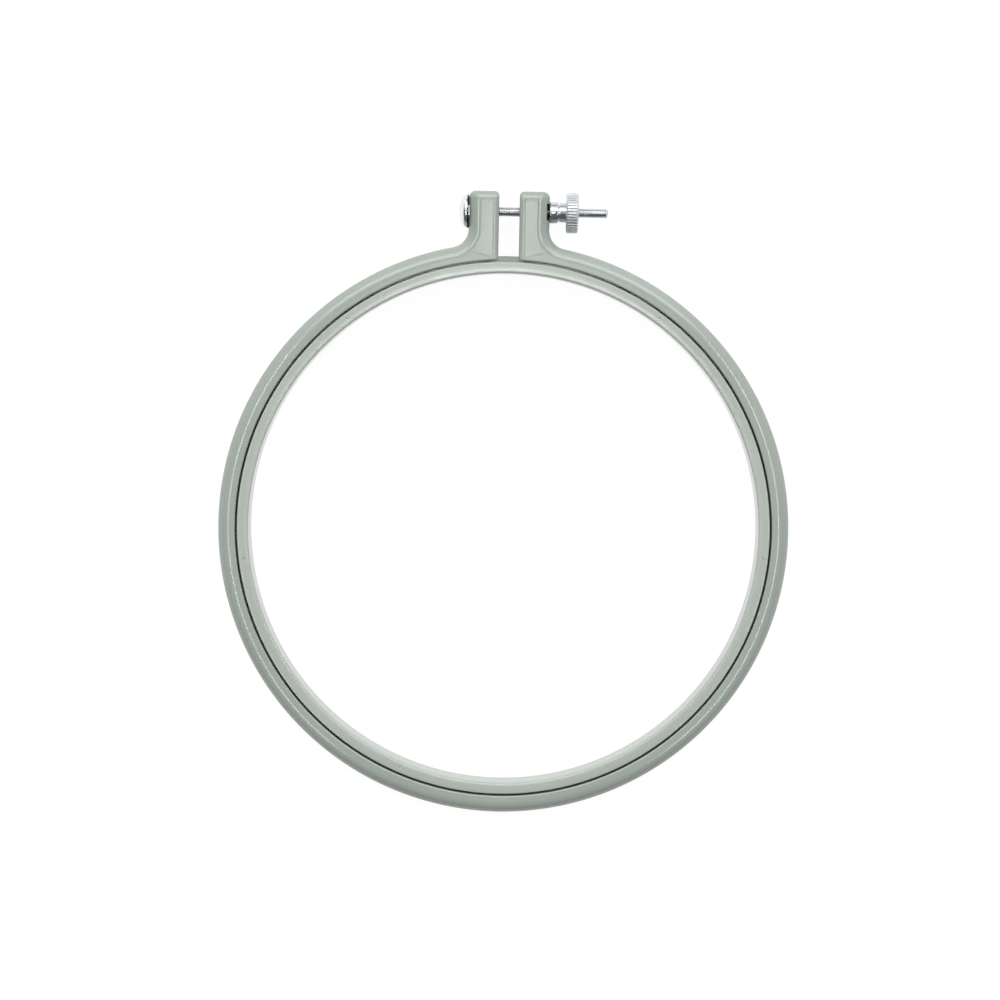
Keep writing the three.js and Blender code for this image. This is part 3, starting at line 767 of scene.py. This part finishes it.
# Table. A wide white sheet: matt for light and shadow, and mixed with plain white for the camera
# and for what the metal mirrors.
TABLE_HALF = 40.0
TABLE_Z = -0.0002
MATT_COLOUR = (0.55, 0.55, 0.55, 1)
MATT_ROUGH = 0.9
MATT_SHINE = 0.2
GLOW_STRENGTH = 1.22
WHITE_SHARE = 0.76  # of plain white in what the camera sees
corner_signs = ((-1, -1), (1, -1), (1, 1), (-1, 1))
sheet_corners = [(x * TABLE_HALF, y * TABLE_HALF, TABLE_Z) for x, y in corner_signs]
sheet_mesh = bpy.data.meshes.new("table")
sheet_mesh.from_pydata(sheet_corners, [], [(0, 1, 2, 3)])
table = bpy.data.objects.new("table", sheet_mesh)
bpy.context.scene.collection.objects.link(table)
white = bpy.data.materials.new("white_sheet")
white.use_nodes = True
nodes, links = white.node_tree.nodes, white.node_tree.links
matt = nodes["Principled BSDF"]
matt.inputs["Base Color"].default_value = MATT_COLOUR
matt.inputs["Roughness"].default_value = MATT_ROUGH
matt.inputs["Specular IOR Level"].default_value = MATT_SHINE
glow = nodes.new("ShaderNodeEmission")
glow.inputs["Strength"].default_value = GLOW_STRENGTH
path = nodes.new("ShaderNodeLightPath")
seen = path.outputs["Is Camera Ray"]
for kind in ("Is Glossy Ray", "Is Transmission Ray"):
    either = nodes.new("ShaderNodeMath")
    either.operation = "MAXIMUM"
    links.new(seen, either.inputs[0])
    links.new(path.outputs[kind], either.inputs[1])
    seen = either.outputs[0]
share = nodes.new("ShaderNodeMath")
share.operation = "MULTIPLY"
share.inputs[1].default_value = WHITE_SHARE
links.new(seen, share.inputs[0])
both = nodes.new("ShaderNodeMixShader")
links.new(share.outputs[0], both.inputs["Fac"])
links.new(matt.outputs["BSDF"], both.inputs[1])
links.new(glow.outputs["Emission"], both.inputs[2])
links.new(both.outputs["Shader"], nodes["Material Output"].inputs["Surface"])
sheet_mesh.materials.append(white)

# Light. A soft box almost overhead and a wide one beyond the clamp, a long narrow one on each side,
# a small one for the lugs' tilted faces, and a sky that is brightest half way up on the far side,
# dark on the near side and a little lighter low down at the left and right.
LAMP_DISTANCE = 1.0
SKY_COLOUR = (0.97, 0.985, 1.0, 1)
hoop_middle = Vector((0, CENTRE_Y, OUTER_TOP))


def soft_box(name, azimuth, tilt, width, depth, watts):
    """A rectangular lamp aimed at the hoop's middle, tilt degrees from overhead towards azimuth."""
    lamp = bpy.data.lights.new(name, "AREA")
    lamp.shape = "RECTANGLE"
    lamp.size, lamp.size_y = width, depth
    lamp.energy = watts
    turn, lean = math.radians(azimuth), math.radians(tilt)
    away = Vector((math.sin(lean) * math.cos(turn), math.sin(lean) * math.sin(turn), math.cos(lean)))
    across = Vector((-math.sin(turn), math.cos(turn), 0))
    facing = Matrix((across, away.cross(across), away)).transposed()
    box = bpy.data.objects.new(name, lamp)
    box.matrix_world = Matrix.Translation(hoop_middle + away * LAMP_DISTANCE) @ facing.to_4x4()
    bpy.context.scene.collection.objects.link(box)


soft_box("key_box", azimuth=90, tilt=6, width=0.16, depth=0.26, watts=0.25)
soft_box("lug_box", azimuth=90, tilt=0.6, width=0.09, depth=0.115, watts=0.2)
soft_box("far_box", azimuth=90, tilt=38, width=1.25, depth=0.4, watts=4.2)
soft_box("left_box", azimuth=191, tilt=24, width=0.86, depth=0.07, watts=1.75)
soft_box("right_box", azimuth=-11, tilt=24, width=0.86, depth=0.07, watts=1.75)

sky = bpy.data.worlds.new("sky")
sky.use_nodes = True
nodes, links = sky.node_tree.nodes, sky.node_tree.links
direction = nodes.new("ShaderNodeSeparateXYZ")
links.new(nodes.new("ShaderNodeTexCoord").outputs["Generated"], direction.inputs[0])
towards_far = direction.outputs["Y"]
rising = spread(nodes, links, towards_far, low=0.13, high=1.2, start=0, stop=0.8)
falling = spread(nodes, links, towards_far, low=0, high=0.75, start=0.86, stop=0.97)
far_light = joined(nodes, links, "SUBTRACT", rising, falling)
sideways = nodes.new("ShaderNodeMath")
sideways.operation = "ABSOLUTE"
links.new(direction.outputs["X"], sideways.inputs[0])
side_light = spread(nodes, links, sideways.outputs[0], low=0, high=0.4, start=0.88, stop=0.96)
links.new(joined(nodes, links, "ADD", far_light, side_light), nodes["Background"].inputs["Strength"])
nodes["Background"].inputs["Color"].default_value = SKY_COLOUR
bpy.context.scene.world = sky

# Camera. It looks down from a little beyond the hoop's middle, turned slightly against the hoop, so
# that the clamp leans a little in the picture.
CAMERA_FOOT = (0.0, CENTRE_Y + 0.05)  # the point of the table under the camera
CAMERA_HEIGHT = 0.72  # above the hoop's top
AIM = (-0.00113, CENTRE_Y + 0.00887)
SEEN_WIDTH = 0.2986  # of the plane of the hoop's top
TURN = math.radians(1.1)

camera_data = bpy.data.cameras.new("camera")
camera = bpy.data.objects.new("camera", camera_data)
bpy.context.scene.collection.objects.link(camera)
bpy.context.scene.camera = camera
spot = Vector((*CAMERA_FOOT, OUTER_TOP + CAMERA_HEIGHT))
look = Vector((*AIM, OUTER_TOP)) - spot
back = -look.normalized()
right = Vector((-math.sin(TURN), math.cos(TURN), 0)).cross(back).normalized()
facing = Matrix((right, back.cross(right), back)).transposed()
camera.matrix_world = Matrix.Translation(spot) @ facing.to_4x4()
camera_data.sensor_width = 36
camera_data.lens = camera_data.sensor_width * look.length / SEEN_WIDTH
camera_data.clip_end = 20

bpy.context.scene.view_settings.view_transform = "Standard"
